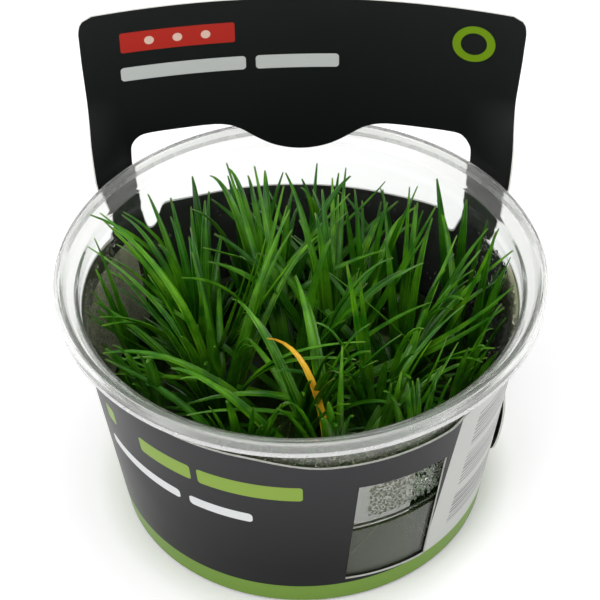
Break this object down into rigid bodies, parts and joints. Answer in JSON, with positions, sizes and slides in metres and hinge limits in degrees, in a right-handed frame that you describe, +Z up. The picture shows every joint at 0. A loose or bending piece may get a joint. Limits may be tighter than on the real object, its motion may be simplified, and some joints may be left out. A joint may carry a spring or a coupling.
{
  "type": "potted tissue-culture aquarium plant in a cup",
  "caption": "Grassy aquarium rosettes on clear gel in a round see-through tub, wrapped by a printed card sleeve with a tall back header and a hand hole.",
  "frame": {"origin": "bottom centre of the cup, on the plane of its foot ring", "axes": "+Z up along the cup's axis, +Y towards the back, where the card's header stands, and +X to the right seen from the front"},
  "size_m": [0.101, 0.101, 0.0975],
  "materials": {
    "clear_plastic": "clear thermoformed polypropylene, smooth and glossy",
    "printed_card": "coated carton board, dark print with a satin varnish",
    "agar_gel": "clear, slightly cloudy nutrient gel",
    "leaf": "smooth, slightly shiny living leaf"
  },
  "bodies": {
    "root": {"cup": "clear_plastic", "sleeve_card": "printed_card", "agar_gel": "agar_gel", "rosette_1": "leaf", "rosette_2": "leaf", "rosette_3": "leaf", "rosette_4": "leaf", "rosette_5": "leaf", "rosette_6": "leaf", "rosette_7": "leaf", "rosette_8": "leaf"}
  },
  "joints": []
}
